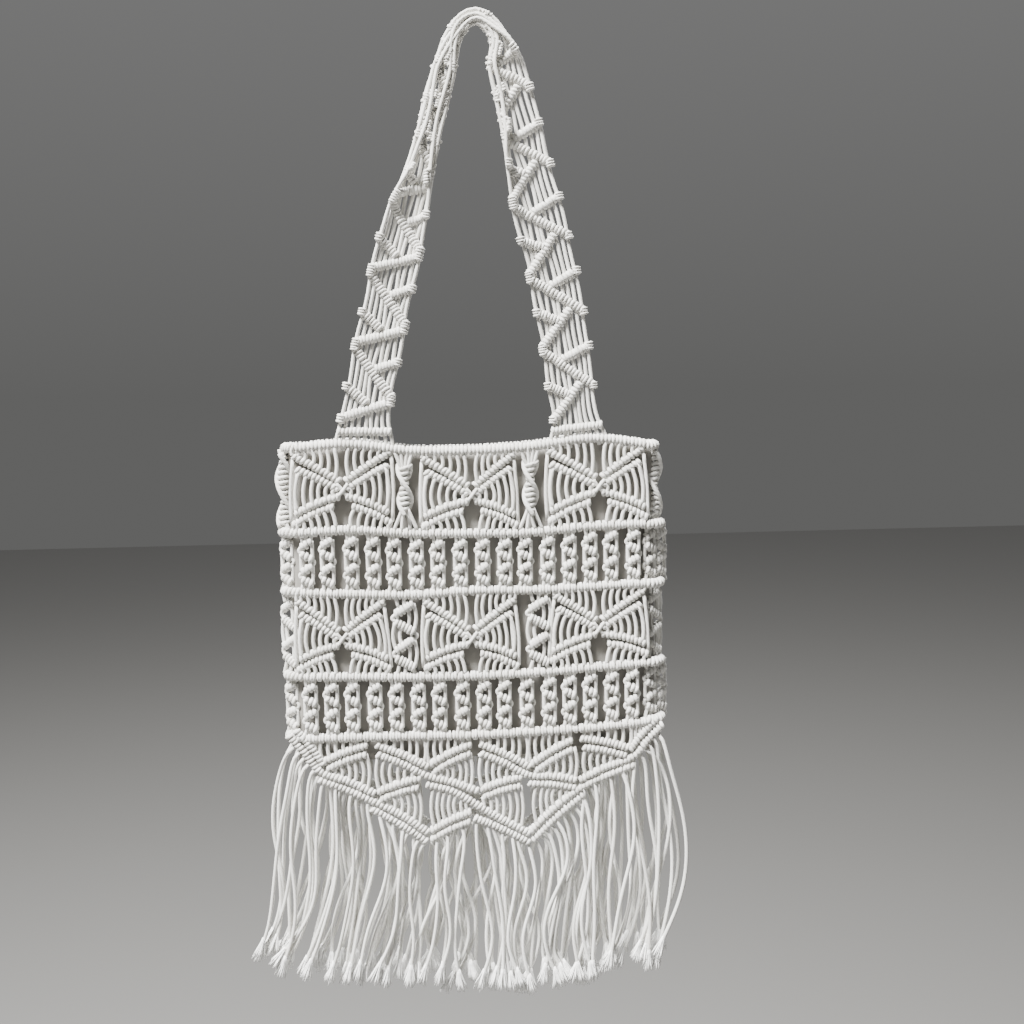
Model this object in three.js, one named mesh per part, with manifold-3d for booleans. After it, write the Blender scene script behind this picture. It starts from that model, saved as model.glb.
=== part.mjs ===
// A macrame shoulder bag of knotted cotton cord, hanging by its strap with its fringe down.
// Millimetres, +Z up, +X to the right of someone who faces the bag, whose front looks along -Y.
// The origin is the point under the top of the strap's loop, where the bag hangs.
import * as THREE from "three";
import { mergeVertices } from "three/addons/utils/BufferGeometryUtils.js";
import Module from "manifold-3d";

const wasm = await Module();
wasm.setup();

// Driving sizes, in millimetres.
const clearance = 0.3; // gap that separate pieces keep
const bodyWidth = 303; // outside width of the knotted body
const bodyDepth = 30; // outside depth of the hanging body
const bodyCentreX = -10; // the body hangs a little to the left of the hanging point
const strapDrop = 323; // hanging point down to the middle of the top edge
const butterflyRowHeight = 67; // middle of one hitch bar to the middle of the next
const chainRowHeight = 50;
const hemDepth = 90; // middle of the lowest bar to the middle of the hem's tips
const fringeDrop = 214; // middle of the lowest bar to the longest fringe ends
const barHeight = 8; // a straight row of clove hitches, seen from the front
const barDepth = 8;
const netThickness = 3; // one layer of 3 mm cord
const ribHeight = 12; // a double diagonal row of hitches in a butterfly
const ribDepth = 7;
const butterfliesPerFace = 3;
const butterflyGap = 7; // open width between a butterfly and the sinnet beside it
const butterflyWaist = 0.93; // share of its width at the crossing
const butterflyRoot = 0.8; // share of its width that is knotted onto the bar below
const eyeWidth = 7; // the small opening below the crossing of a butterfly
const eyeHeight = 9;
const eyeDrop = 6.6; // the crossing down to the top of that opening
const chainsPerFace = 16;
const chainTurns = 4; // diagonals in a zigzag chain
const chainWidth = 12.6;
const chainDepth = 6;
const sinnetWidth = 11; // the sinnets between the butterflies
const upperSinnetTurns = 5;
const lowerSinnetTurns = 4;
const sinnetPinch = 0.3; // share of a sinnet's width left beside its middle line where it steps in
const sideSinnetWidth = 7.4; // the sinnets that close the sides
const hemEndWidth = 8; // the last crossing of the hem net to the end of the face
const hemRowHeight = 14; // a double row of hitches in the hem, measured up and down
const hemHoleWidth = 14;
const hemHoleHeight = 12;
const liningWall = 1.2;
const liningDrop = 256; // middle of the top edge to the bottom of the lining
const liningRise = 2; // middle of the top edge up to the lining's rim
const strapWidth = 38; // the strap laid flat
const strapThickness = 5;
const strapFootOffset = 84.5; // body's middle to the middle of a strap foot
const strapRibSize = 6.5; // a diagonal row of hitches on the strap
const strapRibLift = 1.25; // middle of the strap's thickness to the middle of such a row
const strapRibReach = 0.92; // share of half the strap's width that a row reaches
const strapRows = 22; // rows from foot to foot
const firstStrapRow = 0.035; // share of the strap's length before the first row
const strapSteps = 36; // straight lengths from foot to foot
const creaseWidth = 0.2; // least half width of the crease's back, as a share of half the thickness
const fringeHeadHeight = 8;
const lockWidth = 17;
const lockDepth = 6;
const lockFlat = 0.6; // share of a lock's width that is flat
const lockRoot = 1.6; // how far a lock runs up into the head
const fringeEndGap = 2; // left between the front and back fringes at their ends

// Levels of the five straight bars, from the top edge down.
const topEdgeZ = -strapDrop;
const upperBarZ = topEdgeZ - butterflyRowHeight;
const upperMiddleBarZ = upperBarZ - chainRowHeight;
const lowerMiddleBarZ = upperMiddleBarZ - butterflyRowHeight;
const lowestBarZ = lowerMiddleBarZ - chainRowHeight;
const barLevels = [topEdgeZ, upperBarZ, upperMiddleBarZ, lowerMiddleBarZ, lowestBarZ];

// The bars run straight across each face and turn round the sides in half circles.
const turnRadius = (bodyDepth - barDepth) / 2;
const faceHalfWidth = bodyWidth / 2 - bodyDepth / 2;
const columnX = faceHalfWidth + turnRadius;
const turnSteps = 5; // straight lengths in each half circle, of the bars and of the lining
const faceEndX = faceHalfWidth - clearance;

// Patterns that divide a face.
const butterflySpacing = bodyWidth / butterfliesPerFace;
const butterflyWidth = butterflySpacing - sinnetWidth - 2 * butterflyGap;
const chainSpacing = (2 * faceEndX) / chainsPerFace;
const hemSpacing = (faceEndX - hemEndWidth) / 3;

// Materials, with the colours of undyed cotton and a grey lining.
const cotton = (hex) => new THREE.MeshStandardMaterial({ color: hex, roughness: 0.95, metalness: 0 });
const knottedCotton = cotton(0xd8d5cb);
const fringeCotton = cotton(0xdad7ce);
const liningCloth = cotton(0xa29d92);

function solidOf(geometry) {
  const bare = geometry.clone();
  bare.deleteAttribute("normal");
  bare.deleteAttribute("uv");
  const merged = mergeVertices(bare, 1e-4);
  return new wasm.Manifold(
    new wasm.Mesh({
      numProp: 3,
      vertProperties: new Float32Array(merged.attributes.position.array),
      triVerts: new Uint32Array(merged.index.array),
    }),
  );
}

function fuse(solids) {
  return solids.reduce((whole, next) => whole.add(next));
}

function meshOf(name, solid, material) {
  const made = solid.getMesh();
  const positions = new Float32Array(made.numVert * 3);
  for (let i = 0; i < made.numVert; i++) {
    const start = i * made.numProp;
    positions.set(made.vertProperties.subarray(start, start + 3), i * 3);
  }
  const geometry = new THREE.BufferGeometry();
  geometry.setAttribute("position", new THREE.BufferAttribute(positions, 3));
  geometry.setIndex(new THREE.BufferAttribute(new Uint32Array(made.triVerts), 1));
  geometry.computeVertexNormals();
  const mesh = new THREE.Mesh(geometry, material);
  mesh.name = name;
  return mesh;
}

// A flat plate drawn in X and Z, with its thickness along Y round the plane y = 0.
function plate(shape, thickness) {
  const geometry = new THREE.ExtrudeGeometry(shape, { depth: thickness, bevelEnabled: false });
  geometry.translate(0, 0, -thickness / 2);
  geometry.rotateX(Math.PI / 2);
  return solidOf(geometry);
}

function polygon(points) {
  return new THREE.Shape(points.map(([x, z]) => new THREE.Vector2(x, z)));
}

// A closed skin over rings of points that all have the same number of corners. The caps are the end
// rings' corners in the flat, for the triangles that close them.
function skin(rings, firstCap, lastCap) {
  const corners = rings[0].length;
  const positions = rings.flat().flatMap((p) => [p.x, p.y, p.z]);
  const index = [];
  for (let r = 0; r + 1 < rings.length; r++) {
    for (let c = 0; c < corners; c++) {
      const next = (c + 1) % corners;
      const a = r * corners + c;
      const b = r * corners + next;
      index.push(a, b, b + corners, a, b + corners, a + corners);
    }
  }
  const closeEnd = (flat, start, turned) => {
    const ringWay = Math.sign(THREE.ShapeUtils.area(flat));
    for (const triangle of THREE.ShapeUtils.triangulateShape(flat, [])) {
      const way = Math.sign(THREE.ShapeUtils.area(triangle.map((i) => flat[i])));
      const [a, b, c] = triangle.map((i) => start + i);
      if ((way === ringWay) !== turned) index.push(a, b, c);
      else index.push(c, b, a);
    }
  };
  closeEnd(firstCap, 0, true);
  closeEnd(lastCap, (rings.length - 1) * corners, false);
  const geometry = new THREE.BufferGeometry();
  geometry.setAttribute("position", new THREE.Float32BufferAttribute(positions, 3));
  geometry.setIndex(index);
  return solidOf(geometry);
}

// The corners of an oval section, spread so that it is just as high and as deep as it is told.
function ovalSection(height, depth, sides) {
  const angles = Array.from({ length: sides }, (_, i) => (i / sides) * 2 * Math.PI);
  const furthest = Math.max(...angles.map(Math.sin));
  return angles.map((angle) => {
    const x = (height / 2) * Math.cos(angle);
    const y = ((depth / 2) * Math.sin(angle)) / furthest;
    return new THREE.Vector2(x, y);
  });
}

// A row of hitches along straight lengths from point to point, with its depth along deepDirection.
function hitchRow(points, section, deepDirection) {
  const rings = points.map((point, i) => {
    const before = points[Math.max(i - 1, 0)];
    const after = points[Math.min(i + 1, points.length - 1)];
    const arriving = new THREE.Vector3().subVectors(point, before).normalize();
    const leaving = new THREE.Vector3().subVectors(after, point).normalize();
    const along = new THREE.Vector3().addVectors(arriving, leaving).normalize();
    const bend = Math.max(arriving.dot(along), leaving.dot(along));
    const across = new THREE.Vector3().crossVectors(deepDirection, along).normalize();
    const deep = new THREE.Vector3().crossVectors(along, across);
    return section.map(({ x, y }) =>
      point.clone().addScaledVector(across, x / bend).addScaledVector(deep, y),
    );
  });
  return skin(rings, section, section);
}

const backwards = new THREE.Vector3(0, 1, 0);

// A row on a face of the body, through points given by their X and Z, level with the bars behind.
function faceRow(points, height, depth) {
  const route = points.map(([x, z]) => new THREE.Vector3(x, (barDepth - depth) / 2, z));
  return hitchRow(route, ovalSection(height, depth, 6), backwards);
}

function straightBar(z) {
  return faceRow([[-faceEndX, z], [faceEndX, z]], barHeight, barDepth);
}

// One butterfly: a field of hanging cords with four double diagonal rows that cross in its middle. Its
// corners stop above the bar below it, and a narrower root is knotted onto that bar.
function butterfly(centreX, topZ, barBelowZ) {
  const half = butterflyWidth / 2;
  const bottomZ = barBelowZ + barHeight / 2 + clearance;
  const middleZ = (topZ + bottomZ) / 2;
  const waist = half * butterflyWaist;
  const root = half * butterflyRoot;
  const field = polygon([
    [centreX - half, topZ],
    [centreX - waist, middleZ],
    [centreX - half, bottomZ],
    [centreX - root, bottomZ],
    [centreX - root, barBelowZ],
    [centreX + root, barBelowZ],
    [centreX + root, bottomZ],
    [centreX + half, bottomZ],
    [centreX + waist, middleZ],
    [centreX + half, topZ],
  ]);
  const eyeTopZ = middleZ - eyeDrop;
  const eye = polygon([
    [centreX, eyeTopZ],
    [centreX + eyeWidth / 2, eyeTopZ - eyeHeight / 2],
    [centreX, eyeTopZ - eyeHeight],
    [centreX - eyeWidth / 2, eyeTopZ - eyeHeight / 2],
  ]);
  field.holes.push(eye);
  const inset = ribHeight / 2;
  const endX = half - inset / 2;
  const wingRow = (endZ) => {
    const points = [[centreX - endX, endZ], [centreX, middleZ], [centreX + endX, endZ]];
    return faceRow(points, ribHeight, ribDepth);
  };
  return fuse([plate(field, netThickness), wingRow(topZ - inset), wingRow(bottomZ + inset)]);
}

// A sinnet whose edges step in and out once for each half turn of its cords.
function sinnet(centreX, topZ, bottomZ, width, depth, turns) {
  const left = [];
  const right = [];
  const narrow = width * sinnetPinch;
  for (let i = 0; i <= turns; i++) {
    const z = topZ + ((bottomZ - topZ) * i) / turns;
    const wide = i % 2 === 0;
    left.push([centreX - (wide ? width / 2 : narrow), z]);
    right.push([centreX + (wide ? narrow : width / 2), z]);
  }
  const flat = plate(polygon([...left, ...right.reverse()]), depth);
  return flat.translate([0, (barDepth - depth) / 2, 0]);
}

// A row of butterflies with a sinnet between each two, knotted onto the bar below them.
function butterflyRow(aboveZ, belowZ, sinnetTurns) {
  const topZ = aboveZ - barHeight / 2 - clearance;
  const pieces = [straightBar(belowZ)];
  for (let i = 0; i < butterfliesPerFace; i++) {
    const centreX = (i - (butterfliesPerFace - 1) / 2) * butterflySpacing;
    pieces.push(butterfly(centreX, topZ, belowZ));
    if (i > 0) {
      const besideX = centreX - butterflySpacing / 2;
      pieces.push(sinnet(besideX, topZ, belowZ, sinnetWidth, chainDepth, sinnetTurns));
    }
  }
  return fuse(pieces);
}

// A row of zigzag chains, knotted onto the bar below them.
function chainRow(aboveZ, belowZ) {
  const topZ = aboveZ - barHeight / 2 - clearance;
  const pieces = [straightBar(belowZ)];
  for (let i = 0; i < chainsPerFace; i++) {
    const centreX = (i - (chainsPerFace - 1) / 2) * chainSpacing;
    pieces.push(sinnet(centreX, topZ, belowZ, chainWidth, chainDepth, chainTurns));
  }
  return fuse(pieces);
}

// Crossings of the hem net on one half of a face. Columns: steps of hemSpacing out from the middle,
// and shares of hemDepth down from the middle of the lowest bar.
const hemTopZ = lowestBarZ - barHeight / 2 - clearance;
const hemCrossing = (steps, share) => [steps * hemSpacing, lowestBarZ - share * hemDepth];
const hemPeak = (steps) => [steps * hemSpacing, hemTopZ - hemRowHeight / 2];
const hemEdge = [faceEndX, lowestBarZ - 0.17 * hemDepth];
const hemShoulder = hemCrossing(3, 0.27);
const hemElbow = hemCrossing(2, 0.57);
const upperHemRow = [hemPeak(0), hemCrossing(1, 0.31), hemPeak(2), hemShoulder, hemEdge];
const middleHemRow = [hemCrossing(0, 0.58), hemCrossing(1, 0.36), hemElbow];
const lowerHemRow = [hemCrossing(0, 0.75), hemCrossing(1, 1), hemElbow];
const hemOutline = [...lowerHemRow, hemShoulder, hemEdge];

function bothHalves(points) {
  const mirrored = points.map(([x, z]) => [-x, z]).reverse();
  return points[0][0] === 0 ? [...mirrored.slice(0, -1), ...points] : [...mirrored, ...points];
}

function lowered(points, drop) {
  return points.map(([x, z]) => [x, z - drop]);
}

// A strip of even height along a zigzag line.
function zigzagStrip(points, height, depth) {
  const outline = [...lowered(points, -height / 2), ...lowered(points, height / 2).reverse()];
  return plate(polygon(outline), depth).translate([0, (barDepth - depth) / 2, 0]);
}

function hemNet() {
  const outline = bothHalves(hemOutline);
  const [firstX] = outline[0];
  const [lastX] = outline[outline.length - 1];
  const field = polygon([[firstX, hemTopZ], ...outline, [lastX, hemTopZ]]);
  const pieces = [
    plate(field, netThickness),
    zigzagStrip(bothHalves(upperHemRow), hemRowHeight, ribDepth),
    zigzagStrip(bothHalves(middleHemRow), hemRowHeight, ribDepth),
    zigzagStrip(outline, hemRowHeight, ribDepth),
  ];
  // Diamond holes in the middle of the net's diamonds. Columns: steps sideways, share of hemDepth down.
  const holes = [
    { steps: -2, share: 0.32 },
    { steps: 0, share: 0.32 },
    { steps: 2, share: 0.32 },
    { steps: -1, share: 0.67 },
    { steps: 1, share: 0.67 },
  ];
  let net = fuse(pieces);
  for (const { steps, share } of holes) {
    const [x, z] = hemCrossing(steps, share);
    const diamond = polygon([
      [x, z + hemHoleHeight / 2],
      [x + hemHoleWidth / 2, z],
      [x, z - hemHoleHeight / 2],
      [x - hemHoleWidth / 2, z],
    ]);
    net = net.subtract(plate(diamond, 2 * bodyDepth));
  }
  return net;
}

// The fringe: a head along the hem with locks of cords that hang from it. Columns: where a lock starts
// and ends as shares of half the body's width, and how low it ends as a share of fringeDrop.
const locks = [
  { start: -0.955, end: -1.17, drop: 0.81 },
  { start: -0.82, end: -0.99, drop: 0.88 },
  { start: -0.68, end: -0.83, drop: 0.92 },
  { start: -0.54, end: -0.66, drop: 0.93 },
  { start: -0.4, end: -0.48, drop: 0.94 },
  { start: -0.27, end: -0.33, drop: 0.95 },
  { start: -0.13, end: -0.16, drop: 0.97 },
  { start: 0, end: 0.01, drop: 1 },
  { start: 0.13, end: 0.17, drop: 0.99 },
  { start: 0.27, end: 0.33, drop: 0.97 },
  { start: 0.4, end: 0.48, drop: 0.96 },
  { start: 0.54, end: 0.66, drop: 0.95 },
  { start: 0.68, end: 0.81, drop: 0.92 },
  { start: 0.82, end: 0.95, drop: 0.89 },
  { start: 0.955, end: 1.08, drop: 0.88 },
];

// The back locks hang between the front ones. A face is drawn as seen from its own side, so left and
// right change over.
const backLocks = locks.slice(1).map((lock, i) => ({
  start: -(lock.start + locks[i].start) / 2,
  end: -(lock.end + locks[i].end) / 2,
  drop: (lock.drop + locks[i].drop) / 2,
}));

function heightOn(line, x) {
  for (let i = 0; i + 1 < line.length; i++) {
    const [x0, z0] = line[i];
    const [x1, z1] = line[i + 1];
    if (x >= x0 && x <= x1) return z0 + ((z1 - z0) * (x - x0)) / (x1 - x0);
  }
  return x < line[0][0] ? line[0][1] : line[line.length - 1][1];
}

function fringe(lockRows) {
  const headDrop = hemRowHeight / 2 + clearance;
  const sideTop = [columnX, hemTopZ];
  const head = bothHalves([...lowered(hemOutline, headDrop), sideTop]);
  const headShape = polygon([...head, ...lowered(head, fringeHeadHeight).reverse()]);
  const pieces = [plate(headShape, lockDepth)];
  const endY = turnRadius - lockDepth / 2 - fringeEndGap / 2;
  // Sections of a lock from its head to its ends. Columns: share of the way down, share of the full
  // width, and sideways sway as a share of the lock's width.
  const sections = [
    { down: 0, width: 0.9, sway: 0 },
    { down: 0.35, width: 0.95, sway: 0.18 },
    { down: 0.85, width: 0.8, sway: -0.12 },
    { down: 1, width: 1, sway: 0 },
  ];
  lockRows.forEach(({ start, end, drop }, order) => {
    const startX = start * columnX;
    const edges = [-1, 0, 1].map((side) => heightOn(head, startX + (side * lockWidth) / 2));
    const startZ = Math.min(...edges) - lockRoot;
    const endX = end * columnX;
    const endZ = lowestBarZ - drop * fringeDrop;
    const swaySide = order % 2 === 0 ? 1 : -1;
    const rings = sections.map(({ down, width, sway }) => {
      const x = startX + (endX - startX) * down + swaySide * sway * lockWidth;
      const y = endY * down;
      const z = startZ + (endZ - startZ) * down;
      const half = (width * lockWidth) / 2;
      const flatHalf = half * lockFlat;
      return [
        new THREE.Vector3(x - half, y, z),
        new THREE.Vector3(x - flatHalf, y + lockDepth / 2, z),
        new THREE.Vector3(x + flatHalf, y + lockDepth / 2, z),
        new THREE.Vector3(x + half, y, z),
        new THREE.Vector3(x + flatHalf, y - lockDepth / 2, z),
        new THREE.Vector3(x - flatHalf, y - lockDepth / 2, z),
      ];
    });
    const flat = (ring) => ring.map((p) => new THREE.Vector2(p.x, p.y));
    pieces.push(skin(rings, flat(rings[0]), flat(rings[rings.length - 1])));
  });
  return fuse(pieces);
}

// The half circle in which a bar turns from the front face round the side to the back face.
class HalfTurn extends THREE.Curve {
  getPoint(share, target = new THREE.Vector3()) {
    const angle = (share - 0.5) * Math.PI;
    return target.set(faceHalfWidth + turnRadius * Math.cos(angle), turnRadius * Math.sin(angle), 0);
  }
}

// One side of the body: the bars turn round it, with a twisted sinnet between each two.
function sideColumn() {
  const section = new THREE.Shape(ovalSection(barHeight, barDepth, 6));
  const options = { extrudePath: new HalfTurn(), steps: turnSteps, bevelEnabled: false };
  const bend = new THREE.ExtrudeGeometry(section, options);
  const pieces = barLevels.map((z) => solidOf(bend.clone().translate(0, 0, z)));
  const height = topEdgeZ - lowestBarZ;
  const radius = sideSinnetWidth / 2;
  const column = new THREE.CylinderGeometry(radius, radius, height, 6);
  column.rotateX(Math.PI / 2);
  column.translate(columnX, 0, (topEdgeZ + lowestBarZ) / 2);
  pieces.push(solidOf(column));
  return fuse(pieces);
}

// The lining: a cloth pouch sewn inside the top edge and open at the top.
function roundedSlot(halfLength, radius) {
  const slot = new THREE.Shape();
  slot.moveTo(-halfLength, -radius);
  slot.lineTo(halfLength, -radius);
  slot.absarc(halfLength, 0, radius, -Math.PI / 2, Math.PI / 2, false);
  slot.lineTo(-halfLength, radius);
  slot.absarc(-halfLength, 0, radius, Math.PI / 2, (Math.PI * 3) / 2, false);
  return slot;
}

function liningPouch() {
  const turnInside = turnRadius * Math.cos(Math.PI / (2 * turnSteps)) - barDepth / 2;
  const outerRadius = turnInside - clearance;
  const pouch = (radius, bottomZ, topZ) => {
    const options = { depth: topZ - bottomZ, bevelEnabled: false, curveSegments: turnSteps };
    const geometry = new THREE.ExtrudeGeometry(roundedSlot(faceHalfWidth, radius), options);
    geometry.translate(0, 0, bottomZ);
    return solidOf(geometry);
  };
  const bottomZ = topEdgeZ - liningDrop;
  const rimZ = topEdgeZ + liningRise;
  const outside = pouch(outerRadius, bottomZ, rimZ);
  const inside = pouch(outerRadius - liningWall, bottomZ + liningWall, rimZ + barHeight);
  return outside.subtract(inside);
}

// The strap: one knotted band that folds lengthwise as it nears the hanging point, its crease
// behind. Columns of each leg: rise is the share of the way up from the foot, lean the share of the
// way across to the hanging point, width the share of the strap's width, and fold the angle of each
// half, 0 when it lies flat.
const leftLeg = [
  { rise: 0, lean: 0, width: 1.24, fold: 4 },
  { rise: 0.051, lean: 0.01, width: 1.02, fold: 8 },
  { rise: 0.137, lean: 0.06, width: 0.97, fold: 14 },
  { rise: 0.223, lean: 0.13, width: 0.96, fold: 18 },
  { rise: 0.336, lean: 0.22, width: 0.95, fold: 24 },
  { rise: 0.465, lean: 0.33, width: 0.95, fold: 36 },
  { rise: 0.563, lean: 0.43, width: 0.95, fold: 46 },
  { rise: 0.685, lean: 0.56, width: 0.95, fold: 51 },
  { rise: 0.78, lean: 0.64, width: 0.95, fold: 54 },
  { rise: 0.878, lean: 0.73, width: 0.95, fold: 57 },
  { rise: 0.951, lean: 0.81, width: 0.95, fold: 62 },
  { rise: 0.988, lean: 0.9, width: 0.95, fold: 70 },
];
const rightLeg = [
  { rise: 0, lean: 0, width: 1.24, fold: 4 },
  { rise: 0.051, lean: 0.02, width: 0.98, fold: 8 },
  { rise: 0.146, lean: 0.08, width: 0.97, fold: 12 },
  { rise: 0.226, lean: 0.12, width: 1, fold: 14 },
  { rise: 0.317, lean: 0.18, width: 1, fold: 16 },
  { rise: 0.41, lean: 0.25, width: 1.04, fold: 18 },
  { rise: 0.517, lean: 0.36, width: 1.06, fold: 22 },
  { rise: 0.614, lean: 0.45, width: 1.06, fold: 26 },
  { rise: 0.719, lean: 0.53, width: 1.03, fold: 32 },
  { rise: 0.807, lean: 0.61, width: 1, fold: 38 },
  { rise: 0.896, lean: 0.71, width: 0.97, fold: 48 },
  { rise: 0.957, lean: 0.78, width: 0.95, fold: 60 },
  { rise: 0.988, lean: 0.88, width: 0.95, fold: 70 },
];
const topFold = 72;
const topWidth = 0.95;

const radians = (degrees) => (degrees * Math.PI) / 180;
const strapHalf = strapWidth / 2;
const strapTopZ = strapHalf * topWidth * Math.cos(radians(topFold)) + strapThickness / 2;
const strapFootZ = topEdgeZ + barHeight / 2 + clearance;

function strapStations() {
  const leg = (rows, side) =>
    rows.map(({ rise, lean, width, fold }) => {
      const footX = bodyCentreX + side * strapFootOffset;
      const x = footX * (1 - lean);
      const y = -turnRadius * (1 - rise);
      const z = strapFootZ + (strapTopZ - strapFootZ) * rise;
      return { at: new THREE.Vector3(x, y, z), width, fold };
    });
  const top = { at: new THREE.Vector3(0, 0, strapTopZ), width: topWidth, fold: topFold };
  return [...leg(leftLeg, -1), top, ...leg(rightLeg, 1).reverse()];
}

// The strap's middle line and its frame at a share of the way along it: outward points away from the
// inside of the loop and forward to the front.
const stations = strapStations();
const strapLine = new THREE.CatmullRomCurve3(
  stations.map(({ at }) => at),
  false,
  "centripetal",
);

function strapFrame(share) {
  const place = share * (stations.length - 1);
  const before = Math.min(Math.floor(place), stations.length - 2);
  const part = place - before;
  const mix = (key) => stations[before][key] * (1 - part) + stations[before + 1][key] * part;
  const centre = strapLine.getPoint(share);
  const along = strapLine.getTangent(share);
  if (share === 0 || share === 1) along.set(0, 0, share === 0 ? 1 : -1);
  const outward = new THREE.Vector3().crossVectors(along, backwards).negate().normalize();
  const forward = new THREE.Vector3().crossVectors(outward, along).normalize();
  if (forward.y > 0) forward.negate();
  return { centre, along, outward, forward, half: mix("width") * strapHalf, fold: radians(mix("fold")) };
}

// A point of the strap's middle surface: side is 1 at the edge on the outside of the loop, 0 at the
// crease and -1 at the inside edge, and lift is the height above that surface.
function strapPoint(share, side, lift) {
  const { centre, outward, forward, half, fold } = strapFrame(share);
  const reach = Math.abs(side) * half;
  const across = Math.sign(side) * reach * Math.cos(fold);
  const ahead = reach * Math.sin(fold) - (half * Math.sin(fold)) / 2;
  const point = centre.clone().addScaledVector(outward, across);
  point.addScaledVector(forward, ahead + lift * Math.cos(fold));
  return point.addScaledVector(outward, -Math.sign(side) * lift * Math.sin(fold));
}

// The strap's section at a share of the way along it: two flat halves that meet in the crease.
function strapSection(share) {
  const { half, fold } = strapFrame(share);
  const sin = Math.sin(fold);
  const cos = Math.cos(fold);
  const t = strapThickness / 2;
  const corner = (u, v) => new THREE.Vector2(u, v - (half * sin) / 2);
  const tipU = half * cos;
  const tipV = half * sin;
  const backU = t * Math.max(sin, creaseWidth);
  return [
    corner(backU, -t * cos),
    corner(-backU, -t * cos),
    corner(-tipU - t * sin, tipV - t * cos),
    corner(-tipU + t * sin, tipV + t * cos),
    corner(0, t / cos),
    corner(tipU - t * sin, tipV + t * cos),
    corner(tipU + t * sin, tipV - t * cos),
  ];
}

function strap() {
  const rings = [];
  const flats = [];
  for (let i = 0; i <= strapSteps; i++) {
    const share = i / strapSteps;
    const { centre, outward, forward } = strapFrame(share);
    const flat = strapSection(share);
    flats.push(flat);
    rings.push(
      flat.map((p) => centre.clone().addScaledVector(outward, p.x).addScaledVector(forward, p.y)),
    );
  }
  const pieces = [skin(rings, flats[0], flats[strapSteps])];
  // Diagonal rows of hitches run from edge to edge, down one way and back the other. Where the strap is
  // folded further than this angle they lie inside the fold.
  const hiddenRowFold = radians(45);
  const ribSection = ovalSection(strapRibSize, strapRibSize, 4);
  const rowStep = (1 - 2 * firstStrapRow) / strapRows;
  for (let i = 0; i < strapRows; i++) {
    const share = firstStrapRow + i * rowStep;
    if (strapFrame(share + rowStep / 2).fold > hiddenRowFold) continue;
    const way = i % 2 === 0 ? 1 : -1;
    const start = strapPoint(share, way * strapRibReach, strapRibLift);
    const middle = strapPoint(share + rowStep / 2, 0, strapRibLift);
    const finish = strapPoint(share + rowStep, -way * strapRibReach, strapRibLift);
    const facing = strapFrame(share + rowStep / 2).forward;
    pieces.push(hitchRow([start, middle, finish], ribSection, facing));
  }
  return fuse(pieces);
}

// Every piece of a face is made once round y = 0 and stands in the front and the back group.
const facePieces = [
  { name: "top_edge", solid: straightBar(topEdgeZ), material: knottedCotton },
  {
    name: "upper_butterfly_row",
    solid: butterflyRow(topEdgeZ, upperBarZ, upperSinnetTurns),
    material: knottedCotton,
  },
  { name: "upper_chain_row", solid: chainRow(upperBarZ, upperMiddleBarZ), material: knottedCotton },
  {
    name: "lower_butterfly_row",
    solid: butterflyRow(upperMiddleBarZ, lowerMiddleBarZ, lowerSinnetTurns),
    material: knottedCotton,
  },
  { name: "lower_chain_row", solid: chainRow(lowerMiddleBarZ, lowestBarZ), material: knottedCotton },
  { name: "hem_net", solid: hemNet(), material: knottedCotton },
];

function face(label, lockRows) {
  const group = new THREE.Group();
  for (const { name, solid, material } of facePieces) {
    group.add(meshOf(label + "_" + name, solid, material));
  }
  group.add(meshOf(label + "_fringe", fringe(lockRows), fringeCotton));
  group.position.y = -turnRadius;
  return group;
}

const body = new THREE.Group();
body.position.x = bodyCentreX;
const frontFace = face("front", locks);
const backFace = new THREE.Group();
backFace.rotation.z = Math.PI;
backFace.add(face("back", backLocks));
const rightSide = meshOf("right_side", sideColumn(), knottedCotton);
const leftTurn = new THREE.Group();
leftTurn.rotation.z = Math.PI;
leftTurn.add(meshOf("left_side", sideColumn(), knottedCotton));
body.add(frontFace, backFace, rightSide, leftTurn, meshOf("lining", liningPouch(), liningCloth));

const bag = new THREE.Group();
bag.add(body, meshOf("strap", strap(), knottedCotton));

export default bag;
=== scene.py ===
import math

import bpy
import numpy as np
from mathutils import Matrix, Vector


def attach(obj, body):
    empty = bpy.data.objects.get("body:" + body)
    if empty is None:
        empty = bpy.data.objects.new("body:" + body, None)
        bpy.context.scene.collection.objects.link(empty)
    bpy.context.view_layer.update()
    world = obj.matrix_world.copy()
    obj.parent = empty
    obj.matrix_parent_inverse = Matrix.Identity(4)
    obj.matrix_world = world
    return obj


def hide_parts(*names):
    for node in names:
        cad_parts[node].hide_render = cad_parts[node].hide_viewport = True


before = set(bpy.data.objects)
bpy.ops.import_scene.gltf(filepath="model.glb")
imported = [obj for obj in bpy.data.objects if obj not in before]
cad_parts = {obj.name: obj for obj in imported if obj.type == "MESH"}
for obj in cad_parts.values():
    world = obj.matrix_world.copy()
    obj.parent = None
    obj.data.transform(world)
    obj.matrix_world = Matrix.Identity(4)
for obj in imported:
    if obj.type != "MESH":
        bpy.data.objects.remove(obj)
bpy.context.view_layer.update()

# The studio. A plain pale floor lies well below the hanging bag, and the surround is pale like an
# overcast sky. A wide soft light stands high in front of the bag and to its left, and a weak one stands
# behind it. None of it belongs to the bag.
bpy.ops.object.select_all(action="DESELECT")
bpy.ops.mesh.primitive_plane_add(size=40, location=(0, 0, -3.0))
floor = bpy.context.object
floor.name = "studio_floor"
floor_paint = bpy.data.materials.new("studio_floor_paint")
floor_paint.use_nodes = True
floor_nodes = floor_paint.node_tree
floor_shader = floor_nodes.nodes["Principled BSDF"]
floor_shader.inputs["Roughness"].default_value = 0.8
floor_noise = floor_nodes.nodes.new("ShaderNodeTexNoise")
floor_noise.inputs["Scale"].default_value = 1.5
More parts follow.
